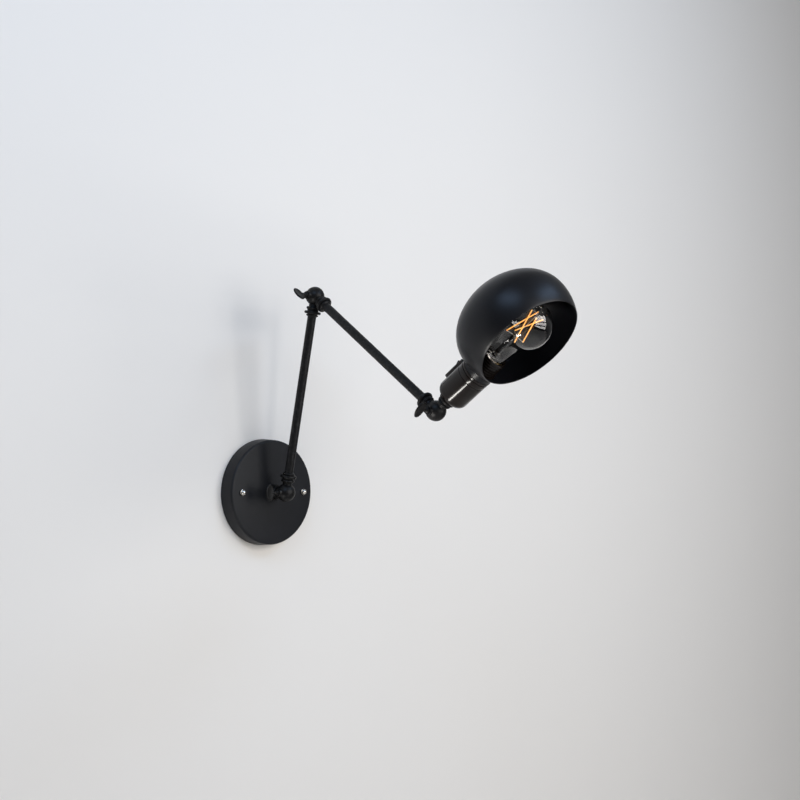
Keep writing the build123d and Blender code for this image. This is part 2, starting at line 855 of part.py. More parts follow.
with BuildPart() as bulb_screw_base:
    with BuildSketch(lengthwise(ball_3, head_direction)):
        with BuildLine():
            Polyline(
                (insulator_end, insulator_radius),
                (insulator_end + base_shoulder, base_radius),
                (base_end, base_radius),
                (base_end, base_radius - base_wall),
                (insulator_end + insulator_rim, base_radius - base_wall),
                (insulator_end + insulator_rim, insulator_radius),
                close=True,
            )
        make_face()
    revolve(axis=Axis(ball_3, head_direction))
keep(bulb_screw_base, "bulb_screw_base")

# Bulb envelope: a globe that narrows to a neck, whose end sits inside the screw base
globe_centre = bulb_tip - bulb_radius
globe_joint_angle = 50
neck_flare_place = 119.5
neck_flare_radius = 14.3
neck_end_place = 110.3
neck_end_radius = 14
neck_flare_direction = (-1, -0.05)
root_gap = 0.1
root_start = 101.4
root_end = base_end + root_gap
root_radius = base_radius - base_wall - root_gap

with BuildPart() as bulb_glass:
    for skin, mode in ((0, Mode.ADD), (glass_wall, Mode.SUBTRACT)):
        with BuildSketch(lengthwise(ball_3, head_direction)):
            with BuildLine():
                globe = CenterArc(
                    (globe_centre, 0), bulb_radius - skin, 0, 180 - globe_joint_angle
                )
                Spline(
                    globe @ 1,
                    (neck_flare_place, neck_flare_radius - skin),
                    tangents=(globe % 1, neck_flare_direction),
                )
                Polyline(
                    (neck_flare_place, neck_flare_radius - skin),
                    (neck_end_place, neck_end_radius - skin),
                    (root_end, root_radius - skin),
                    (root_start, root_radius - skin),
                    (root_start, 0),
                    globe @ 0,
                )
            make_face()
        revolve(axis=Axis(ball_3, head_direction), mode=mode)
keep(bulb_glass, "bulb_glass")

# Glass stem inside the envelope, flared where it meets the neck
stem_flare_gap = 0.2
stem_flare_radius = root_radius - glass_wall - stem_flare_gap
stem_flare_lip = 1
stem_foot_place = 113
stem_foot_radius = 4.2
stem_rod_radius = 3.4
stem_taper_start = 140
stem_tip_radius = 2.4
stem_end = 145.4

with BuildPart() as bulb_stem:
    with BuildSketch(lengthwise(ball_3, head_direction)):
        with BuildLine():
            Polyline(
                (root_start, 0),
                (root_start, stem_flare_radius),
                (root_start + stem_flare_lip, stem_flare_radius),
                (stem_foot_place, stem_foot_radius),
                (stem_taper_start, stem_rod_radius),
                (stem_end, stem_tip_radius),
                (stem_end, 0),
                close=True,
            )
        make_face()
    revolve(axis=Axis(ball_3, head_direction))
keep(bulb_stem, "bulb_stem")

# Filament sticks, twisted round the stem, on wire supports
filament_count = 4
filament_radius = 0.8
filament_foot = 146
filament_top = 186
filament_foot_radius = 12.7
filament_top_radius = 8.6
filament_first_angle = 52
filament_twist = -102
wire_radius = 0.35
hub_radius = 0.6


def bulb_point(distance, radius, angle):
    """Point inside the bulb, at an angle round its axis from the +X side towards its top."""
    sideways = across * math.cos(math.radians(angle)) + head_top * math.sin(math.radians(angle))
    return ball_3 + head_direction * distance + sideways * radius


def rod(start, end):
    """Plane at the start of a straight rod, facing its end, and the rod's length."""
    return Plane(origin=start, z_dir=end - start), (end - start).length


filament_ends = []
for number in range(filament_count):
    foot_angle = filament_first_angle + number * 360 / filament_count
    foot = bulb_point(filament_foot, filament_foot_radius, foot_angle)
    top = bulb_point(filament_top, filament_top_radius, foot_angle + filament_twist)
    filament_ends.append((foot, top))

with BuildPart() as bulb_filaments:
    for foot, top in filament_ends:
        stick_plane, stick_length = rod(foot, top)
        with BuildSketch(stick_plane):
            Circle(filament_radius)
        extrude(amount=stick_length)
keep(bulb_filaments, "bulb_filaments")

with BuildPart() as bulb_supports:
    with BuildSketch(square_to(ball_3, head_direction, stem_end)):
        Circle(hub_radius)
    extrude(amount=filament_top - stem_end + hub_radius)
    for foot, top in filament_ends:
        for spoke_end, spoke_root in (
            (foot, bulb_point(stem_end + hub_radius, 0, 0)),
            (top, bulb_point(filament_top, 0, 0)),
        ):
            spoke_plane, spoke_length = rod(spoke_root, spoke_end)
            with BuildSketch(spoke_plane):
                Circle(wire_radius)
            extrude(amount=spoke_length)
    add(bulb_filaments.part, mode=Mode.SUBTRACT)
keep(bulb_supports, "bulb_supports")
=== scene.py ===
import json
import math

import bmesh
import bpy
from mathutils import Matrix, Vector


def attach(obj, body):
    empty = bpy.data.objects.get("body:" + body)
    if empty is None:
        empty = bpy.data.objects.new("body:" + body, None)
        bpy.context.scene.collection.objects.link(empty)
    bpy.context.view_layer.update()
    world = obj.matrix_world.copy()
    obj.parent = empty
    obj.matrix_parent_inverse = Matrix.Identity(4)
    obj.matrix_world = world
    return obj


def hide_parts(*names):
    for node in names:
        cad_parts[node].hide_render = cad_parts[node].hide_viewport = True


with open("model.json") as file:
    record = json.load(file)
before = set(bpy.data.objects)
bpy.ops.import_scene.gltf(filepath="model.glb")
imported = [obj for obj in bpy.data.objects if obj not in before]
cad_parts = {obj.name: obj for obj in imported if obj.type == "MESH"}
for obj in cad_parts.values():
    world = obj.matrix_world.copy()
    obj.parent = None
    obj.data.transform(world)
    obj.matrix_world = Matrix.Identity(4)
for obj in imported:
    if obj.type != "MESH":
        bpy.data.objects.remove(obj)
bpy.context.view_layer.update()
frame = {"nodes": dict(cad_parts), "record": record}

# Swing arm wall lamp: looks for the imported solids.
# Sizes are written in millimetres and angles in degrees, as in the part's source.
# Meshes are made in metres.
MILLIMETRE = 0.001

# Lamp's own lines: the wall is at Y = 0 and the lamp stands out towards -Y
plate_depth = 22
plate_radius = 75
plate_front_radius = 73.5
coupling_seat = 27.4
arm_length = 275.3
arm_1_lean = 11.3
arm_2_drop = 36.6
head_rise = 34.6
shade_equator_rise = 43
shade_entry = 82.3
shade_radius = 72.6
shade_crown_height = 56
shade_shoulder_radius = 45
shade_skirt_height = 31.8
stud_spacing = 112
tube_radius = 6
wing_turns = (0, 45, -38)
holder_radius = 20.5
holder_joint_line = 68.6
holder_joint_gap = 0.3
lip_end = 79.6
sleeve_radius = 17
sleeve_bore = 14.9
sleeve_end = 110.5
switch_start = 41
switch_end = 73
bulb_root_start = 101.4
lamp_thread_pitch = 3.6

across = Vector((1, 0, 0))
out_of_wall = Vector((0, -1, 0))


def raised(angle):
    """Direction in the lamp's own plane, out of the wall and raised above level by angle."""
    return Vector((0, -math.cos(math.radians(angle)), math.sin(math.radians(angle))))


arm_1_direction = raised(90 - arm_1_lean)
arm_2_direction = raised(-arm_2_drop)
head_direction = raised(head_rise)
head_top = raised(head_rise + 90)
equator_direction = raised(shade_equator_rise)
opening_direction = raised(shade_equator_rise - 90)

wall_centre = Vector((0, 0, 0))
ball_1 = out_of_wall * (plate_depth + coupling_seat)
ball_2 = ball_1 + arm_1_direction * arm_length
ball_3 = ball_2 + arm_2_direction * arm_length
shade_centre = ball_3 + head_direction * shade_entry + equator_direction * shade_radius


# Nodes

class Flow:
    """A node's output. Arithmetic on it adds Math nodes to the same board."""

    def __init__(self, board, socket):
        self.board = board
        self.socket = socket

    def math(self, operation, first, second=0.0):
        return self.board.node("ShaderNodeMath", {"operation": operation}, {0: first, 1: second})

    def __add__(self, other):
        return self.math("ADD", self, other)

    def __radd__(self, other):
        return self.math("ADD", other, self)

    def __sub__(self, other):
        return self.math("SUBTRACT", self, other)

    def __rsub__(self, other):
        return self.math("SUBTRACT", other, self)

    def __mul__(self, other):
        return self.math("MULTIPLY", self, other)

    def __rmul__(self, other):
        return self.math("MULTIPLY", other, self)

    def __truediv__(self, other):
        return self.math("DIVIDE", self, other)


class Board:
    """A node tree being made, with one method that adds any node to it."""

    def __init__(self, tree):
        self.tree = tree

    def node(self, kind, settings=None, inputs=None, output=0):
        """Adds a node with its settings, then the values or links of its sockets."""
        node = self.tree.nodes.new(kind)
        for name, value in (settings or {}).items():
            if name == "stops":
                for _ in range(len(value) - 2):
                    node.color_ramp.elements.new(0.5)
                for element, (position, level) in zip(node.color_ramp.elements, value):
                    element.position = position
                    element.color = (level, level, level, 1)
            else:
                setattr(node, name, value)
        for name, value in (inputs or {}).items():
            if isinstance(value, Flow):
                self.tree.links.new(value.socket, node.inputs[name])
            else:
                node.inputs[name].default_value = value
        return Flow(self, node.outputs[output]) if node.outputs else None


class Finish(Board):
    """A material being made."""

    def __init__(self, name):
        self.material = bpy.data.materials.new(name)
        self.material.use_nodes = True
        super().__init__(self.material.node_tree)
        self.tree.nodes.clear()
        self.place = self.node("ShaderNodeTexCoord", output="Object")

    def noise(self, spots_per_metre, detail=2, roughness=0.5):
        """Noise fixed to the piece, from 0 to 1."""
        sockets = {
            "Vector": self.place,
            "Scale": spots_per_metre,
            "Detail": detail,
            "Roughness": roughness,
        }
        return self.node("ShaderNodeTexNoise", None, sockets)

    def ramp(self, value, *stops):
        """Value passed through (position, level) stops."""
        return self.node("ShaderNodeValToRGB", {"stops": stops}, {"Fac": value})

    def blend(self, share, first, second):
        """Colour between two colours."""
        sockets = {0: share, 6: first, 7: second}
        return self.node("ShaderNodeMix", {"data_type": "RGBA"}, sockets, output=2)

    def bump(self, height, depth, strength=1.0):
        """Normal from a height from 0 to 1 that stands for a depth in millimetres."""
        sockets = {"Height": height, "Distance": depth * MILLIMETRE, "Strength": strength}
        return self.node("ShaderNodeBump", None, sockets)

    def surface(self, sockets):
        """Finishes the material with the main shader and returns it."""
        shader = self.node("ShaderNodeBsdfPrincipled", None, sockets)
        self.node("ShaderNodeOutputMaterial", None, {"Surface": shader})
        return self.material


# Finishes

def edge_wear(finish, low, high):
    """Share of bare edge, from the corners that stand out."""
    pointed = finish.node("ShaderNodeNewGeometry", output="Pointiness")
    return finish.ramp(pointed, (low, 0), (high, 1))


def painted(name, colour, worn_colour, roughness, peel, specular):
    """Sprayed paint with a fine orange peel, faint dust and slightly rubbed edges."""
    finish = Finish(name)
    cloud = finish.noise(28, detail=4, roughness=0.6)
    grain = finish.noise(900, detail=3, roughness=0.6)
    rubbed = edge_wear(finish, 0.54, 0.64) * finish.ramp(finish.noise(260, 4), (0.45, 0), (0.65, 1))
    dusty = finish.ramp(cloud, (0.40, 0), (0.80, 1)) * 0.5
    dusty_colour = [1.5 * part + 0.001 for part in colour[:3]] + [1]
    tone = finish.blend(dusty, colour, dusty_colour)
    sockets = {
        "Base Color": finish.blend(rubbed * 0.35, tone, worn_colour),
        "Roughness": roughness + (cloud - 0.5) * 0.08 + (grain - 0.5) * 0.06,
        "Specular IOR Level": specular,
        "Normal": finish.bump(grain, peel),
    }
    return finish.surface(sockets)


def bright_metal(name, colour, roughness, brushing, depth):
    """Plated or plain metal with fine lines and small stains."""
    finish = Finish(name)
    lines = finish.noise(brushing, detail=4, roughness=0.7)
    stain = finish.noise(120, detail=4, roughness=0.6)
    darker = [0.72 * part for part in colour[:3]] + [1]
    sockets = {
        "Base Color": finish.blend(finish.ramp(stain, (0.45, 0), (0.8, 1)), colour, darker),
        "Metallic": 1,
        "Roughness": roughness + (lines - 0.5) * 0.16 + (stain - 0.5) * 0.12,
        "Normal": finish.bump(lines, depth),
    }
    return finish.surface(sockets)


def moulded(name, colour, flow_colour, roughness, coat, depth, specular=0.5):
    """Moulded plastic or glazed ware with faint flow clouds and a slightly wavy skin."""
    finish = Finish(name)
    flow = finish.noise(45, detail=5, roughness=0.65)
    skin = finish.noise(160, detail=2)
    speck = finish.ramp(finish.noise(1400, detail=1), (0.66, 0), (0.74, 1))
    tone = finish.blend(finish.ramp(flow, (0.35, 0), (0.7, 1)), colour, flow_colour)
    speck_colour = [min(1, 2.2 * part) for part in colour[:3]] + [1]
    sockets = {
        "Base Color": finish.blend(speck * 0.25, tone, speck_colour),
        "Roughness": roughness + (flow - 0.5) * 0.08,
        "Specular IOR Level": specular,
        "Coat Weight": coat,
        "Coat Roughness": 0.06,
        "Normal": finish.bump(skin, depth),
    }
    return finish.surface(sockets)


def clear_glass():
    """Blown glass with faint waves and a little dust."""
    finish = Finish("clear_glass")
    wave = finish.noise(35, detail=2)
    dust = finish.ramp(finish.noise(700, detail=3), (0.55, 0), (0.8, 1))
    sockets = {
        "Base Color": (1, 1, 1, 1),
        "Roughness": dust * 0.05,
        "Transmission Weight": 1,
        "IOR": 1.47,
        "Normal": finish.bump(wave, 0.05),
    }
    return finish.surface(sockets)


def filament_with_painted_glow():
    """Phosphor coat on the filament sticks, in beads along them, with a faint painted glow on the unlit
    sticks.
    """
    finish = Finish("filament")
    beads = finish.ramp(finish.noise(420, detail=1), (0.35, 0), (0.65, 1))
    colour = finish.blend(beads, (0.95, 0.34, 0.05, 1), (1.0, 0.58, 0.18, 1))
    sockets = {
        "Base Color": colour,
        "Roughness": 0.55 + (beads - 0.5) * 0.1,
        # Emission is a painted glow: it stands in for light that does not reach the sticks inside the
        # glass
        "Emission Color": colour,
        "Emission Strength": 1.0,
        "Normal": finish.bump(beads, 0.05),
    }
    return finish.surface(sockets)


paints = {
    "plate_paint": {
        "colour": (0.0085, 0.0090, 0.0110, 1),
        "worn_colour": (0.05, 0.05, 0.055, 1),
        "roughness": 0.45,
        "peel": 0.010,
        "specular": 0.24,
    },
    "arm_paint": {
        "colour": (0.0045, 0.0043, 0.0045, 1),
        "worn_colour": (0.04, 0.04, 0.042, 1),
        "roughness": 0.42,
        "peel": 0.010,
        "specular": 0.20,
    },
    "shade_paint": {
        "colour": (0.0040, 0.0043, 0.0058, 1),
        "worn_colour": (0.04, 0.04, 0.045, 1),
        "roughness": 0.36,
        "peel": 0.005,
        "specular": 0.24,
    },
}
metals = {
    "nickel": {"colour": (0.72, 0.69, 0.64, 1), "roughness": 0.14, "brushing": 500, "depth": 0.003},
    "steel": {"colour": (0.52, 0.52, 0.50, 1), "roughness": 0.38, "brushing": 700, "depth": 0.010},
    "brass": {"colour": (0.72, 0.52, 0.22, 1), "roughness": 0.30, "brushing": 600, "depth": 0.008},
    "wire": {"colour": (0.60, 0.58, 0.55, 1), "roughness": 0.30, "brushing": 900, "depth": 0.004},
}
mouldings = {
    "bakelite": {
        "colour": (0.0050, 0.0036, 0.0030, 1),
        "flow_colour": (0.0080, 0.0050, 0.0038, 1),
        "roughness": 0.18,
        "coat": 0.12,
        "depth": 0.012,
        "specular": 0.22,
    },
    "nylon": {
        "colour": (0.72, 0.71, 0.66, 1),
        "flow_colour": (0.66, 0.65, 0.60, 1),
        "roughness": 0.50,
        "coat": 0,
        "depth": 0.020,
    },
    "porcelain": {
        "colour": (0.80, 0.79, 0.74, 1),
        "flow_colour": (0.74, 0.72, 0.67, 1),
        "roughness": 0.25,
        "coat": 0.6,
        "depth": 0.020,
    },
    "black_glass": {
        "colour": (0.012, 0.012, 0.014, 1),
        "flow_colour": (0.02, 0.02, 0.022, 1),
        "roughness": 0.12,
        "coat": 0.3,
        "depth": 0.010,
    },
}
finishes = {}
for kind, looks in ((painted, paints), (bright_metal, metals), (moulded, mouldings)):
    for name, look in looks.items():
        finishes[name] = kind(name, **look)
finishes["clear_glass"] = clear_glass()
finishes["filament"] = filament_with_painted_glow()


# Mesh helpers

def settle(piece, slot, body, nodes, soft_angle=35):
    """Gives a piece its finish and smooth shading, and ties it to its body and CAD nodes."""
    piece.data.materials.clear()
    piece.data.materials.append(finishes[slot])
    for face in piece.data.polygons:
        face.use_smooth = True
    piece.data.set_sharp_from_angle(angle=math.radians(soft_angle))
    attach(piece, body)
    if nodes:
        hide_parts(*nodes)
    return piece


def linked(name, data):
    """New object in the scene for a mesh, curve, light or camera."""
    piece = bpy.data.objects.new(name, data)
    bpy.context.scene.collection.objects.link(piece)
    return piece


def mend(mesh, joined=0, outward=True):
    """Joins points closer than a distance in millimetres, and turns the faces outwards."""
    shape = bmesh.new()
    shape.from_mesh(mesh)
    if joined:
        bmesh.ops.remove_doubles(shape, verts=shape.verts, dist=joined * MILLIMETRE)
    if outward:
        bmesh.ops.recalc_face_normals(shape, faces=shape.faces)
    shape.to_mesh(mesh)
    shape.free()


def place(name, points, faces):
    """Object from points in millimetres and faces, with its faces turned outwards."""
    mesh = bpy.data.meshes.new(name)
    mesh.from_pydata([point * MILLIMETRE for point in points], [], faces)
    mend(mesh)
    return linked(name, mesh)


def rounded(corners, steps=5):
    """Outline through (distance, radius, rounding) corners, each rounding drawn as an arc."""
    outline = []
    last = len(corners) - 1
    for number, (distance, radius, rounding) in enumerate(corners):
        corner = Vector((distance, radius))
        if rounding == 0 or number in (0, last):
            outline.append((distance, radius))
            continue
        back = (Vector(corners[number - 1][:2]) - corner).normalized()
        ahead = (Vector(corners[number + 1][:2]) - corner).normalized()
        half_angle = back.angle(ahead) / 2
        centre = corner + (back + ahead).normalized() * rounding / math.sin(half_angle)
        first = corner + back * rounding / math.tan(half_angle) - centre
        final = corner + ahead * rounding / math.tan(half_angle) - centre
        for step in range(steps + 1):
            spoke = first.slerp(final, step / steps) * rounding
            outline.append((centre.x + spoke.x, centre.y + spoke.y))
    return outline


def arc(centre, lift, radius, first_angle, last_angle, steps):
    """Outline points on an arc about a centre that may stand off the axis."""
    points = []
    for step in range(steps + 1):
        angle = math.radians(first_angle + (last_angle - first_angle) * step / steps)
        points.append((centre + radius * math.cos(angle), lift + radius * math.sin(angle)))
    return points


def eased(start, start_slope, end, end_slope, steps):
    """Outline points on a smooth curve between two points, leaving and arriving along slopes."""
    points = []
    for step in range(1, steps):
        t = step / steps
        point = (
            Vector(start) * (2 * t**3 - 3 * t**2 + 1)
            + Vector(start_slope) * (t**3 - 2 * t**2 + t)
            + Vector(end) * (3 * t**2 - 2 * t**3)
            + Vector(end_slope) * (t**3 - t**2)
        )
        points.append((point.x, point.y))
    return points


def turned(name, start, direction, outline, facets=96, loop=False):
    """Piece turned on a lathe: (distance, radius) points spun about a line."""
    first_side = across if abs(direction.x) < 0.9 else Vector((0, 0, 1))
    second_side = direction.cross(first_side)
    points = []
    rings = []
    for distance, radius in outline:
        middle = start + direction * distance
        count = 1 if radius < 1e-4 else facets
        rings.append(range(len(points), len(points) + count))
        for facet in range(count):
            angle = 2 * math.pi * facet / facets
            spoke = first_side * math.cos(angle) + second_side * math.sin(angle)
            points.append(middle + spoke * (radius if count > 1 else 0))
    faces = []
    for near, far in zip(rings, rings[1:] + rings[:1] if loop else rings[1:]):
        for facet in range(facets):
            ahead = facet + 1
            corners = [
                near[facet % len(near)],
                near[ahead % len(near)],
                far[ahead % len(far)],
                far[facet % len(far)],
            ]
            face = list(dict.fromkeys(corners))
            if len(face) > 2:
                faces.append(face)
    return place(name, points, faces)


def smoothed(name, node):
    """Copy of a CAD node with its loose triangles merged."""
    mesh = frame["nodes"][node].data.copy()
    mesh.name = name
    mend(mesh, joined=0.002, outward=False)
    return linked(name, mesh)


def applied(piece):
    """Plain mesh of what a piece's modifiers make of it, in the piece's stead."""
    bpy.context.view_layer.update()
    evaluated = piece.evaluated_get(bpy.context.evaluated_depsgraph_get())
    mesh = bpy.data.meshes.new_from_object(evaluated)
    name = piece.name
    bpy.data.objects.remove(piece)
    return linked(name, mesh)


def cut(piece, tool, operation="DIFFERENCE"):
    """Boolean of a piece with a tool piece, which is used up."""
    modifier = piece.modifiers.new("cut", "BOOLEAN")
    modifier.object = tool
    modifier.operation = operation
    modifier.solver = "EXACT"
    plain = applied(piece)
    bpy.data.objects.remove(tool)
    return plain


def eased_edges(piece, width, angle=40):
    """Small round on a piece's sharp edges."""
    modifier = piece.modifiers.new("round", "BEVEL")
    modifier.width = width * MILLIMETRE
    modifier.segments = 2
    modifier.limit_method = "ANGLE"
    modifier.angle_limit = math.radians(angle)
    return applied(piece)


def standing_on(centre, direction):
    """Placement whose Z axis is a line in the lamp and whose X axis is the lamp's."""
    turned_axes = Matrix((across, direction.cross(across), direction)).transposed()
    return Matrix.Translation(centre * MILLIMETRE) @ turned_axes.to_4x4()


# Patterns that repeat a shape or sweep it along a line

class Pattern(Board):
    """Geometry nodes being made, with named inputs besides the shape itself."""

    def __init__(self, name, **inputs):
        super().__init__(bpy.data.node_groups.new(name, "GeometryNodeTree"))
        sockets = self.tree.interface
        sockets.new_socket("Geometry", in_out="OUTPUT", socket_type="NodeSocketGeometry")
        sockets.new_socket("Geometry", in_out="INPUT", socket_type="NodeSocketGeometry")
        sockets.new_socket("Finish", in_out="INPUT", socket_type="NodeSocketMaterial")
        for label, kind in inputs.items():
            sockets.new_socket(label, in_out="INPUT", socket_type="NodeSocket" + kind)
        self.inputs = self.tree.nodes.new("NodeGroupInput")

    def given(self, label):
        """What the modifier gives for a named input."""
        return Flow(self, self.inputs.outputs[label])

    def close(self, geometry):
        """Ends the tree with plain, finished geometry."""
        real = self.node("GeometryNodeRealizeInstances", None, {"Geometry": geometry})
        coated = self.node(
            "GeometryNodeSetMaterial", None, {"Geometry": real, "Material": self.given("Finish")}
        )
        self.node("NodeGroupOutput", None, {"Geometry": coated})
        return self

    def grow(self, piece, **values):
        """Runs the tree on a piece and leaves plain mesh."""
        modifier = piece.modifiers.new("pattern", "NODES")
        modifier.node_group = self.tree
        for item in self.tree.interface.items_tree:
            if item.in_out == "INPUT" and item.name in values:
                modifier[item.identifier] = values[item.name]
        return applied(piece)


def repeated_shape():
    """Count copies of a shape, each a step on from the last and turned about Z."""
    pattern = Pattern("repeated_shape", Count="Int", Step="Vector", Turn="Float")
    line = pattern.node(
        "GeometryNodeMeshLine",
        {"mode": "OFFSET"},
        {"Count": pattern.given("Count"), "Offset": pattern.given("Step")},
    )
    spin = pattern.node("GeometryNodeInputIndex") * pattern.given("Turn")
    copies = {
        "Points": line,
        "Instance": pattern.given("Geometry"),
        "Rotation": pattern.node("ShaderNodeCombineXYZ", None, {"Z": spin}),
    }
    return pattern.close(pattern.node("GeometryNodeInstanceOnPoints", None, copies))


def drawn_wire():
    """Round wire along a curve."""
    pattern = Pattern("drawn_wire", Radius="Float")
    section = pattern.node(
        "GeometryNodeCurvePrimitiveCircle",
        {"mode": "RADIUS"},
        {"Resolution": 12, "Radius": pattern.given("Radius")},
    )
    sockets = {"Curve": pattern.given("Geometry"), "Profile Curve": section, "Fill Caps": True}
    return pattern.close(pattern.node("GeometryNodeCurveToMesh", None, sockets))


def rolled_thread():
    """Rounded thread rolled into a thin shell that stands on Z, fading out at both ends."""
    pattern = Pattern("rolled_thread", Radius="Float", Length="Float", Pitch="Float", Depth="Float")
    length = pattern.given("Length")
    shell = pattern.node(
        "GeometryNodeMeshCylinder",
        {"fill_type": "NONE"},
        {
            "Vertices": 96,
            "Side Segments": 90,
            "Radius": pattern.given("Radius"),
            "Depth": length,
        },
    )
    point = pattern.node("GeometryNodeInputPosition")
    along = pattern.node("ShaderNodeSeparateXYZ", None, {0: point}, output="Z")
    aside = pattern.node("ShaderNodeSeparateXYZ", None, {0: point}, output="X")
    ahead = pattern.node("ShaderNodeSeparateXYZ", None, {0: point}, output="Y")
    angle = ahead.math("ARCTAN2", ahead, aside)
    wave = along.math("SINE", along / pattern.given("Pitch") * (2 * math.pi) - angle)
    from_end = length * 0.5 - along.math("ABSOLUTE", along)
    fade = pattern.node(
        "ShaderNodeMapRange",
        None,
        {"Value": from_end, "From Min": 0.0, "From Max": pattern.given("Pitch")},
    )
    swell = wave * fade * pattern.given("Depth") / pattern.given("Radius")
    outward = pattern.node("ShaderNodeCombineXYZ", None, {"X": aside, "Y": ahead, "Z": 0.0})
    offset = pattern.node(
        "ShaderNodeVectorMath", {"operation": "SCALE"}, {0: outward, "Scale": swell}
    )
    waved = pattern.node("GeometryNodeSetPosition", None, {"Geometry": shell, "Offset": offset})
    return pattern.close(waved)


repeated = repeated_shape()
along_curve = drawn_wire()
threaded = rolled_thread()


# Wall plate and its nuts

def wall_plate():
    """Dished plate with a rounded front edge, open at the back."""
    wall = 1.5
    outer = [(plate_depth, 0, 0), (plate_depth, plate_front_radius, 3.5), (0, plate_radius, 0.3)]
    inner = [
        (0, plate_radius - wall, 0.3),
        (plate_depth - wall, plate_front_radius - wall, 2),
        (plate_depth - wall, 0, 0),
    ]
    piece = turned("plate_dish", wall_centre, out_of_wall, rounded(outer + inner), facets=160)
    return settle(piece, "plate_paint", "plate", ["wall_plate"])


wall_plate()


def cap_nuts():
    """Two domed hexagon nuts on the plate's front."""
    flats, collar, dome_radius, chamfer, chamfer_reach = 8, 2.8, 3.9, 0.4, 0.64
    half_side = 30
    corner = flats / 2 / math.cos(math.radians(half_side))
    upward = Vector((0, 0, 1))
    hexagon = [(0, 0), (0, corner), (collar, corner), (collar, 0)]
    block = turned("nut_block", wall_centre, upward, hexagon, facets=6)
    chamfered = [
        (-1, 0),
        (-1, corner),
        (collar - chamfer, corner),
        (collar, corner - chamfer_reach),
        (collar, 0),
    ]
    cone = turned("cone", wall_centre, upward, chamfered, facets=64)
    nut = cut(block, cone, "INTERSECT")
    dome = [(1, 0), (1, dome_radius)] + arc(collar, 0, dome_radius, 90, 0, 16)
    nut = cut(nut, turned("dome", wall_centre, upward, dome, facets=48), "UNION")
    nut.data.transform(Matrix.Rotation(math.radians(half_side), 4, "Z"))
    nut.data.transform(Matrix.Translation((-stud_spacing / 2 * MILLIMETRE, 0, 0)))
    step = (stud_spacing * MILLIMETRE, 0, 0)
    pair = repeated.grow(nut, Count=2, Step=step, Turn=0.0, Finish=finishes["nickel"])
    pair.name = "cap_nut_pair"
    pair.data.transform(standing_on(out_of_wall * plate_depth, out_of_wall))
    return settle(pair, "nickel", "plate", ["cap_nuts"])


cap_nuts()


# Ball joints and couplings

def coupling(name, node, body, centre, direction, for_tube):
    """Turned sleeve with a groove and a flange bead, on a cone for a tube or a collar for a seat."""
    sleeve_start, flange_start, flange_end, shoulder = 18.8, 20.8, 24.8, 0.6
    bore, groove_radius, edge_radius, shoulder_radius, bead_radius = 4.8, 7.8, 10.2, 11.0, 11.4
    start = [
        (sleeve_start, bore, 0),
        (sleeve_start, groove_radius, 0.2),
        (flange_start, groove_radius, 0.2),
        (flange_start, edge_radius, 0.3),
    ]
    bead = [
        (flange_start + shoulder, shoulder_radius, 0.5),
        ((flange_start + flange_end) / 2, bead_radius, 1.5),
        (flange_end - shoulder, shoulder_radius, 0.5),
        (flange_end, edge_radius, 0.3),
    ]
    if for_tube:
        ring_start, cone_start, cone_end, seat_start = 25.6, 27, 28.6, 25.2
        neck_radius, ring_radius, cone_end_radius, seat_radius = 7, 8.3, 6.5, 5.9
        end = [
            (flange_end, neck_radius, 0.2),
            (ring_start, neck_radius, 0.2),
            (ring_start, ring_radius, 0.3),
            (cone_start, ring_radius, 0.8),
            (cone_end, cone_end_radius, 0.3),
            (cone_end, seat_radius, 0),
            (seat_start, bore, 0),
        ]
    else:
        collar_start, collar_end, neck_radius, collar_radius = 25.4, 27.3, 9, 9.6
        end = [
            (flange_end, neck_radius, 0.2),
            (collar_start, neck_radius, 0.2),
            (collar_start, collar_radius, 0.2),
            (collar_end, collar_radius, 0.3),
            (collar_end, bore, 0),
        ]
    outline = rounded(start + bead + end, steps=3)
    piece = turned(name, centre, direction, outline, facets=64, loop=True)
    return settle(piece, "arm_paint", body, [node])


coupling("plate_coupling_sleeve", "plate_coupling", "base_joint", ball_1, -out_of_wall, False)
coupling("arm_1_lower_sleeve", "arm_1_lower_coupling", "arm_1", ball_1, arm_1_direction, True)
coupling("arm_1_upper_sleeve", "arm_1_upper_coupling", "arm_1", ball_2, -arm_1_direction, True)
coupling("arm_2_inner_sleeve", "arm_2_inner_coupling", "arm_2", ball_2, arm_2_direction, True)
coupling("arm_2_outer_sleeve", "arm_2_outer_coupling", "arm_2", ball_3, -arm_2_direction, True)
coupling("head_coupling_sleeve", "head_coupling", "head", ball_3, head_direction, False)


def arm_tube(name, node, body, start, direction):
    """Drawn tube between two couplings."""
    setback, wall = 25, 1
    first, last = setback, arm_length - setback
    outline = [
        (first, tube_radius - wall),
        (first, tube_radius),
        (last, tube_radius),
        (last, tube_radius - wall),
    ]
    piece = turned(name, start, direction, outline, facets=64, loop=True)
    return settle(piece, "arm_paint", body, [node])


arm_tube("arm_1_drawn_tube", "arm_1_tube", "arm_1", ball_1, arm_1_direction)
arm_tube("arm_2_drawn_tube", "arm_2_tube", "arm_2", ball_2, arm_2_direction)

for node, body in (
    ("knuckle_1_plate_half", "base_joint"),
    ("knuckle_1_arm_half", "arm_1"),
    ("knuckle_2_lower_half", "arm_1"),
    ("knuckle_2_upper_half", "arm_2"),
    ("knuckle_3_arm_half", "arm_2"),
    ("knuckle_3_head_half", "head"),
):
    casting = eased_edges(smoothed(node + "_casting", node), width=0.3)
    settle(casting, "arm_paint", body, [node])


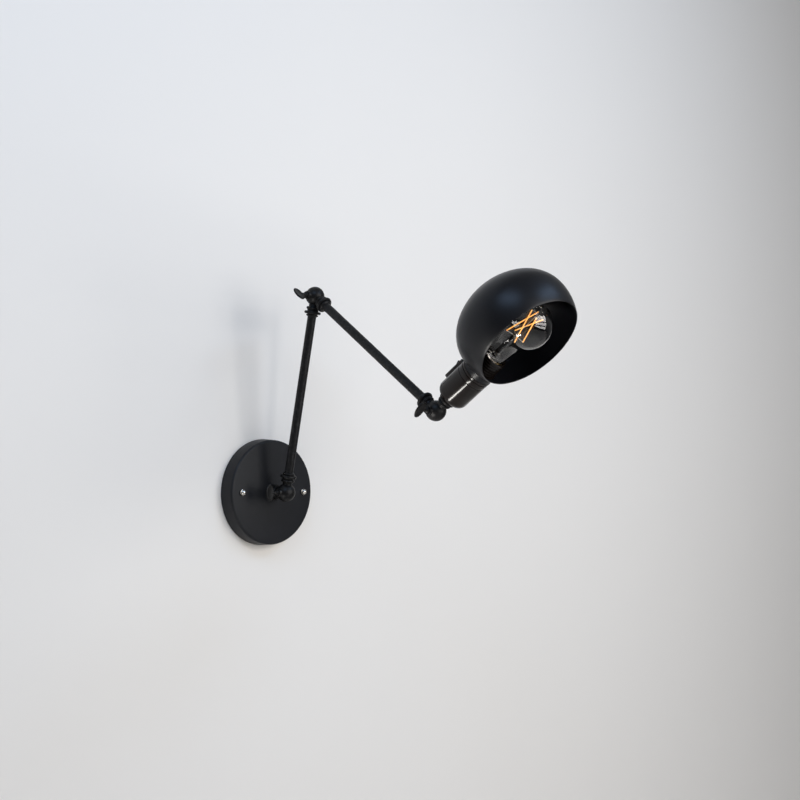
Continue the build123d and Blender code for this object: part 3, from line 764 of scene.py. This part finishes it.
def wing_blade(name, middle, long_way, wide_way):
    """Oval wing, dished on both faces and rounded at its rim."""
    half_length, half_width, half_thickness = 11.5, 7, 1.3
    dish_share, rim_start = 0.62, 0.8
    rings, facets = 14, 56
    thick_way = long_way.cross(wide_way)
    points = []
    faces = []
    for face_side in (1, -1):
        outward = thick_way * face_side * half_thickness
        base = len(points)
        points.append(middle + outward * dish_share)
        for ring in range(1, rings + 1):
            reach = math.sin(math.pi / 2 * ring / rings)
            swell = dish_share + (1 - dish_share) * min(1, reach / rim_start) ** 2
            past_rim = max(0, (reach - rim_start) / (1 - rim_start))
            edge = math.sqrt(max(0, 1 - past_rim**2))
            for facet in range(facets):
                angle = 2 * math.pi * facet / facets
                along = long_way * half_length * math.cos(angle)
                beside = wide_way * half_width * math.sin(angle)
                points.append(middle + (along + beside) * reach + outward * swell * edge)
        for facet in range(facets):
            ahead = (facet + 1) % facets
            faces.append([base, base + 1 + facet, base + 1 + ahead])
            for ring in range(rings - 1):
                near = base + 1 + ring * facets
                far = near + facets
                faces.append([near + facet, far + facet, far + ahead, near + ahead])
    wing = place(name, points, faces)
    mend(wing.data, joined=0.01)
    return wing


def wing_screw(number, centre, turn):
    """Thumb screw: thread, shoulder and a stem that runs out into an oval wing."""
    thread_end, thread_radius = -7.6, 2.4
    shoulder_start, shoulder_end, shoulder_radius = 16.25, 18.6, 4
    stem_start, stem_radius = 19.6, 2.2
    taper_start, taper_end, taper_radius = 23.6, 27.4, 0.7
    wing_distance = 29.2
    stem = rounded(
        [
            (thread_end, 0, 0),
            (thread_end, thread_radius, 0.4),
            (shoulder_start, thread_radius, 0),
            (shoulder_start, shoulder_radius, 0.3),
            (shoulder_end, shoulder_radius, 0.6),
            (stem_start, stem_radius, 0.6),
            (taper_start, stem_radius, 2),
            (taper_end, taper_radius, 0.4),
            (taper_end, 0, 0),
        ],
        steps=3,
    )
    name = f"wing_screw_{number}_thumb"
    piece = turned(name, centre, -across, stem, facets=32)
    long_way = Vector((0, math.sin(math.radians(turn)), math.cos(math.radians(turn))))
    wing = wing_blade(name + "_wing", centre - across * wing_distance, long_way, -across)
    piece = cut(piece, wing, "UNION")
    return settle(piece, "arm_paint", f"wing_{number}", [f"wing_screw_{number}"], soft_angle=40)


for number, (centre, turn) in enumerate(zip((ball_1, ball_2, ball_3), wing_turns), start=1):
    wing_screw(number, centre, turn)


# Lampholder

def switch_opening():
    """Block that clears the room for the switch in the lampholder's moulded shells."""
    half_width, height = 7.4, 41
    corners = []
    for distance in (switch_start, switch_end):
        for side, level in ((-1, 0), (1, 0), (1, height), (-1, height)):
            level_point = ball_3 + head_direction * distance + head_top * level
            corners.append(level_point + across * side * half_width)
    faces = [[0, 1, 2, 3], [7, 6, 5, 4]]
    for near in range(4):
        ahead = (near + 1) % 4
        faces.append([near, near + 4, ahead + 4, ahead])
    return place("switch_opening", corners, faces)


def lampholder_cap():
    """Moulded cap with a rounded bottom."""
    joint = holder_joint_line - holder_joint_gap / 2
    side_wall, end_wall, bottom_rounding = 2.5, 2.6, 8
    outer = [
        (coupling_seat, 0, 0),
        (coupling_seat, holder_radius, bottom_rounding),
        (joint, holder_radius, 0.4),
    ]
    inner = [
        (joint, holder_radius - side_wall, 0),
        (coupling_seat + end_wall, holder_radius - side_wall, bottom_rounding - end_wall),
        (coupling_seat + end_wall, 0, 0),
    ]
    outline = rounded(outer + inner, steps=8)
    piece = turned("lampholder_cap_moulding", ball_3, head_direction, outline, facets=128)
    piece = cut(piece, switch_opening())
    return settle(piece, "bakelite", "head", ["lampholder_cap"])


def lampholder_body():
    """Band, groove, lip and sleeve of the lampholder."""
    joint = holder_joint_line + holder_joint_gap / 2
    spigot_start, spigot_radius = 62, 17.9
    band_end, groove_radius = 75.6, 19.6
    lip_start, lip_radius = 76.8, 20.8
    outline = rounded(
        [
            (spigot_start, sleeve_bore, 0),
            (spigot_start, spigot_radius, 0),
            (joint, spigot_radius, 0),
            (joint, holder_radius, 0.4),
            (band_end, holder_radius, 0.4),
            (band_end, groove_radius, 0.2),
            (lip_start, groove_radius, 0.2),
            (lip_start, lip_radius, 0.4),
            (lip_end, lip_radius, 0.4),
            (lip_end, sleeve_radius, 0),
            (sleeve_end, sleeve_radius, 0.5),
            (sleeve_end, sleeve_bore, 0.3),
        ],
        steps=4,
    )
    piece = turned("lampholder_body_moulding", ball_3, head_direction, outline, facets=128, loop=True)
    piece = cut(piece, switch_opening())
    return settle(piece, "bakelite", "head", ["lampholder_body"])


def sleeve_ridges():
    """Rounded ridges round the sleeve inside the shade."""
    first, pitch, count, half_width, height = 90.5, 3.4, 6, 0.85, 0.6
    root_depth, fullness, arc_steps = 0.3, 0.6, 8
    root_radius = sleeve_radius - root_depth
    ridge_outline = [(-half_width, root_radius)]
    for step in range(arc_steps + 1):
        angle = math.pi * step / arc_steps
        swell = height * math.sin(angle) ** fullness if 0 < step < arc_steps else 0
        ridge_outline.append((-half_width * math.cos(angle), sleeve_radius + swell))
    ridge_outline.append((half_width, root_radius))
    ridge = turned("ridge", wall_centre, Vector((0, 0, 1)), ridge_outline, facets=96, loop=True)
    step = (0, 0, pitch * MILLIMETRE)
    ridges = repeated.grow(ridge, Count=count, Step=step, Turn=0.0, Finish=finishes["bakelite"])
    ridges.name = "lampholder_sleeve_ridges"
    ridges.data.transform(standing_on(ball_3 + head_direction * first, head_direction))
    return settle(ridges, "bakelite", "head", ["lampholder_body"])


lampholder_cap()
lampholder_body()
sleeve_ridges()

for node, body in (("switch_frame", "head"), ("shade_ring", "head"), ("switch_rocker", "switch")):
    moulding = eased_edges(smoothed(node + "_moulding", node), width=0.25)
    settle(moulding, "bakelite", body, [node])


def threaded_shell(node, body, slot, start, end, crest, depth, wall):
    """Thin metal shell with the coarse thread of a lamp base rolled into it."""
    blank = place(node + "_rolled", [wall_centre], [])
    length = end - start
    shell = threaded.grow(
        blank,
        Radius=(crest - depth) * MILLIMETRE,
        Length=length * MILLIMETRE,
        Pitch=lamp_thread_pitch * MILLIMETRE,
        Depth=depth * MILLIMETRE,
        Finish=finishes[slot],
    )
    thickness = shell.modifiers.new("wall", "SOLIDIFY")
    thickness.thickness = wall * MILLIMETRE
    thickness.offset = -1
    shell = applied(shell)
    middle = ball_3 + head_direction * (start + length / 2)
    shell.data.transform(standing_on(middle, head_direction))
    return settle(shell, slot, body, [node])


threaded_shell("screw_shell", "head", "brass", start=80, end=108.5, crest=14.3, depth=0.2, wall=0.4)
threaded_shell(
    "bulb_screw_base", "bulb", "nickel", start=92.8, end=109.4, crest=13.2, depth=0.25, wall=0.35
)


# Shade

def shade():
    """Spun bowl with a thin rounded rim and a neck for the lampholder."""
    wall, rim_round = 1.0, 0.4
    shoulder_lift = shade_radius - shade_shoulder_radius
    crown_radius = (shoulder_lift**2 + shade_crown_height**2 - shade_shoulder_radius**2) / (
        2 * (shade_crown_height - shade_shoulder_radius)
    )
    crown_centre = crown_radius - shade_crown_height
    shoulder_turn = 90 + math.degrees(math.atan2(crown_centre, shoulder_lift))
    skirt_end = shade_skirt_height - rim_round

    def bowl(skin):
        skirt_turn = math.degrees(math.asin(skirt_end / (shade_radius - skin)))
        crown = arc(crown_centre, 0, crown_radius - skin, 180, shoulder_turn, 22)
        shoulder = arc(0, shoulder_lift, shade_shoulder_radius - skin, shoulder_turn, 90, 24)
        skirt = arc(0, 0, shade_radius - skin, 90, 90 - skirt_turn, 14)
        return crown + shoulder[1:] + skirt[1:]

    outer = bowl(0)
    inner = bowl(wall)
    rim_radius = (outer[-1][1] + inner[-1][1]) / 2
    rim = [
        (shade_skirt_height, rim_radius + rim_round / 2),
        (shade_skirt_height, rim_radius - rim_round / 2),
    ]
    piece = turned(
        "shade_bowl", shade_centre, opening_direction, outer + rim + inner[::-1], facets=180
    )
    neck_outer, neck_inner, seat_hole, seat_thickness, neck_depth = 20.4, 19.4, 17.2, 1.2, 14
    hole_start, hole_end = 78, 100
    through = [(hole_start, 0), (hole_start, neck_inner), (hole_end, neck_inner), (hole_end, 0)]
    piece = cut(piece, turned("hole", ball_3, head_direction, through, facets=96))
    neck_outline = rounded(
        [
            (lip_end + seat_thickness, seat_hole, 0),
            (lip_end, seat_hole, 0),
            (lip_end, neck_outer, 0.3),
            (lip_end + neck_depth, neck_outer, 0),
            (lip_end + neck_depth, neck_inner, 0),
            (lip_end + seat_thickness, neck_inner, 0),
        ]
    )
    neck = turned("neck", ball_3, head_direction, neck_outline, facets=96, loop=True)
    room_outline = inner + [(inner[-1][0] + 1, 0)]
    neck = cut(neck, turned("room", shade_centre, opening_direction, room_outline, facets=180))
    piece = cut(piece, neck, "UNION")
    return settle(piece, "shade_paint", "head", ["shade"], soft_angle=32)


shade()


# Bulb

def bulb_glass():
    """Clear globe with a neck that enters the screw base."""
    globe_centre, globe_radius, joint_angle, wall = 168, 30, 130, 0.7
    flare_place, flare_radius, flare_slope, pull = 119.5, 14.3, 0.05, 34
    root_end, root_radius = 109.5, 12.7

    def skin(depth):
        globe = arc(globe_centre, 0, globe_radius - depth, 0, joint_angle, 48)
        slope = math.radians(joint_angle + 90)
        leaving = (pull * math.cos(slope), pull * math.sin(slope))
        arriving = (-pull, -pull * flare_slope)
        flare = (flare_place, flare_radius - depth)
        neck = eased(globe[-1], leaving, flare, arriving, 18)
        root = [
            flare,
            (112.6, 14.05 - depth),
            (110.6, 13.7 - depth),
            (root_end, root_radius - depth),
            (bulb_root_start, root_radius - depth),
        ]
        return globe + neck + root

    outline = skin(0) + skin(wall)[::-1]
    piece = turned("bulb_envelope", ball_3, head_direction, outline, facets=128)
    return settle(piece, "clear_glass", "bulb", ["bulb_glass"], soft_angle=60)


def bulb_stem():
    """Glass stem with its flare."""
    flare_radius, flare_lip, tip = 11.8, 1.2, 145.4
    outline = rounded(
        [
            (bulb_root_start, 0, 0),
            (bulb_root_start, flare_radius, 0.2),
            (bulb_root_start + flare_lip, flare_radius, 0.4),
            (106, 6.8, 3),
            (113, 4.2, 6),
            (138, 3.4, 4),
            (tip, 2.3, 1),
            (tip, 0, 0),
        ]
    )
    piece = turned("bulb_stem_glass", ball_3, head_direction, outline, facets=64)
    return settle(piece, "clear_glass", "bulb", ["bulb_stem"], soft_angle=60)


stick_count = 4
stick_twist = -102
foot_place, foot_radius, foot_angle = 146, 12.7, 52
top_place, top_radius, top_angle = 186, 8.6, foot_angle + stick_twist
wire_radius = 0.35


def in_bulb(distance, radius, angle):
    """Point in the bulb's own axes, where Z runs along it."""
    turn = math.radians(angle)
    return Vector((radius * math.cos(turn), radius * math.sin(turn), distance))


def round_the_bulb(name, shape, slot, node):
    """The shape repeated round the bulb's axis and put in the bulb."""
    still = (0, 0, 0)
    turn = 2 * math.pi / stick_count
    ring = repeated.grow(shape, Count=stick_count, Step=still, Turn=turn, Finish=finishes[slot])
    ring.name = name
    ring.data.transform(standing_on(ball_3, head_direction))
    return settle(ring, slot, "bulb", [node])


def filament_stick():
    """One straight stick with rounded ends, from its foot to its top."""
    stick_radius = 0.68
    foot = in_bulb(foot_place, foot_radius, foot_angle)
    top = in_bulb(top_place, top_radius, top_angle)
    length = (top - foot).length
    foot_end = arc(stick_radius, 0, stick_radius, 180, 90, 5)
    top_end = arc(length - stick_radius, 0, stick_radius, 90, 0, 5)
    return turned("filament_stick", foot, (top - foot).normalized(), foot_end + top_end, facets=20)


def wire_curve(name, *points):
    """Smooth wire of one size through loose guide points, in the bulb's own axes."""
    curve = bpy.data.curves.new(name, "CURVE")
    curve.dimensions = "3D"
    line = curve.splines.new("NURBS")
    line.points.add(len(points) - 1)
    for point, guide in zip(line.points, points):
        point.co = (*(guide * MILLIMETRE), 1)
    line.order_u = 3
    line.use_endpoint_u = True
    line.resolution_u = 8
    return along_curve.grow(linked(name, curve), Radius=wire_radius * MILLIMETRE, Finish=finishes["wire"])


def support_wires():
    """Wires that carry the sticks: at the foot from the stem, at the top from the middle rod."""
    rod_foot, rod_top = 143.5, top_place + 1
    foot_wire = wire_curve(
        "foot_wire",
        in_bulb(rod_foot, 0.6, foot_angle),
        in_bulb(147.2, 1.4, foot_angle),
        in_bulb(147.0, 7, foot_angle),
        in_bulb(foot_place, foot_radius, foot_angle),
    )
    top_wire = wire_curve(
        "top_wire",
        in_bulb(rod_top - 3, 0.2, top_angle),
        in_bulb(rod_top, 0.8, top_angle),
        in_bulb(rod_top, 4, top_angle),
        in_bulb(top_place, top_radius, top_angle),
    )
    round_the_bulb("bulb_foot_wires", foot_wire, "wire", "bulb_supports")
    round_the_bulb("bulb_top_wires", top_wire, "wire", "bulb_supports")
    rod_points = [in_bulb(place_along, 0, 0) for place_along in (rod_foot, 165, rod_top)]
    middle = wire_curve("bulb_middle_rod", *rod_points)
    middle.data.transform(standing_on(ball_3, head_direction))
    settle(middle, "wire", "bulb", ["bulb_supports"])


bulb_glass()
bulb_stem()
round_the_bulb("bulb_filament_sticks", filament_stick(), "filament", "bulb_filaments")
support_wires()

# CAD nodes that keep their shape and get their finish
record_slots = {part["node"]: part["material_slot"] for part in frame["record"]["subparts"]}
for node, piece in frame["nodes"].items():
    piece.data.materials.clear()
    piece.data.materials.append(finishes[record_slots[node]])


# Stage, in metres: a pale wall behind the lamp, seen only from the room's side, and a pale floor

def backdrop(name, colour, corners):
    """Large plain sheet that shows on its front and is clear from behind."""
    finish = Finish(name)
    shade_of_plaster = finish.noise(3, detail=2)
    tone = finish.blend(shade_of_plaster, colour, [0.98 * part for part in colour[:3]] + [1])
    shader = finish.node("ShaderNodeBsdfPrincipled", None, {"Base Color": tone, "Roughness": 0.9})
    clear = finish.node("ShaderNodeBsdfTransparent")
    behind = finish.node("ShaderNodeNewGeometry", output="Backfacing")
    mixed = finish.node("ShaderNodeMixShader", None, {0: behind, 1: shader, 2: clear})
    finish.node("ShaderNodeOutputMaterial", None, {"Surface": mixed})
    mesh = bpy.data.meshes.new(name)
    mesh.from_pydata(corners, [], [[0, 1, 2, 3]])
    mesh.materials.append(finish.material)
    sheet = linked(name, mesh)


wall_gap = 0.0004
reach = 4.0
floor_level = -1.6
pale = (0.84, 0.81, 0.77, 1)
backdrop(
    "wall",
    pale,
    [
        (-reach, wall_gap, floor_level),
        (reach, wall_gap, floor_level),
        (reach, wall_gap, reach),
        (-reach, wall_gap, reach),
    ],
)
backdrop(
    "floor",
    pale,
    [
        (-reach, -reach, floor_level),
        (reach, -reach, floor_level),
        (reach, wall_gap, floor_level),
        (-reach, wall_gap, floor_level),
    ],
)


def soft_light(name, position, target, size, power, colour, spread=180):
    """Large soft lamp aimed at a point."""
    light = bpy.data.lights.new(name, "AREA")
    light.shape = "RECTANGLE"
    light.size, light.size_y = size
    light.energy = power
    light.color = colour
    light.spread = math.radians(spread)
    aim = (Vector(target) - Vector(position)).to_track_quat("-Z", "Y")
    linked(name, light).matrix_world = Matrix.Translation(position) @ aim.to_matrix().to_4x4()


head_middle = (0, -0.44, 0.2)

# Window across the room: a tall pane over two low ones, which the bulb mirrors
daylight_colour = (1.0, 0.985, 0.965)
window_aside, window_ahead, window_width = 0.30, -2.1, 1.75
power_per_metre = 28
panes = ((0.74, 0.66), (0.16, 0.26), (-0.22, 0.22))
for pane_level, pane_height in panes:
    soft_light(
        "window",
        position=(window_aside, window_ahead, pane_level),
        target=(0, -0.3, pane_level * 0.4),
        size=(window_width, pane_height),
        power=power_per_metre * pane_height,
        colour=daylight_colour,
    )

# Bluish sky from above, which the shade mirrors in a broad band
sky_colour = (0.45, 0.66, 1.0)
soft_light(
    "sky_left",
    position=(-1.2, -1.0, 1.35),
    target=head_middle,
    size=(0.9, 0.6),
    power=9,
    colour=sky_colour,
)
soft_light(
    "sky_right",
    position=(0.6, -1.6, 1.45),
    target=head_middle,
    size=(1.2, 0.35),
    power=8,
    colour=sky_colour,
)

# Low strip on the left, which draws the narrow line along the lampholder
soft_light(
    "low_strip",
    position=(-0.55, -0.27, -0.48),
    target=(0, -0.38, 0.14),
    size=(0.35, 0.10),
    power=0.42,
    colour=(1.0, 0.97, 0.92),
    spread=50,
)

world = bpy.data.worlds.new("studio")
bpy.context.scene.world = world
world.use_nodes = True
surroundings = Board(world.node_tree)
surroundings.tree.nodes.clear()
heading = surroundings.node("ShaderNodeTexCoord", output="Generated")
height = surroundings.node("ShaderNodeSeparateXYZ", None, {0: heading}, output="Z")
daylight = surroundings.node(
    "ShaderNodeMapRange",
    {"interpolation_type": "SMOOTHSTEP"},
    {"Value": height, "From Min": -0.5, "From Max": 0.9, "To Min": 0.04, "To Max": 0.32},
)
studio = surroundings.node(
    "ShaderNodeBackground", None, {"Color": (0.97, 0.98, 1.0, 1), "Strength": daylight}
)
surroundings.node("ShaderNodeOutputWorld", None, {"Surface": studio})

# Camera at the photo's angle
camera = bpy.data.cameras.new("camera")
camera.sensor_width = 36
camera.lens = 50.5
camera_place = (-1.0432, -1.2284, 0.0329)
right = Vector((0.6784, -0.7346, 0.0084))
up = Vector((-0.0513, -0.0360, 0.9980))
forward = Vector((0.7329, 0.6775, 0.0621))
turn = Matrix((right, up, -forward)).transposed()
eye = linked("camera", camera)
eye.matrix_world = Matrix.Translation(camera_place) @ turn.to_4x4()
bpy.context.scene.camera = eye
bpy.context.scene.view_settings.view_transform = "Standard"
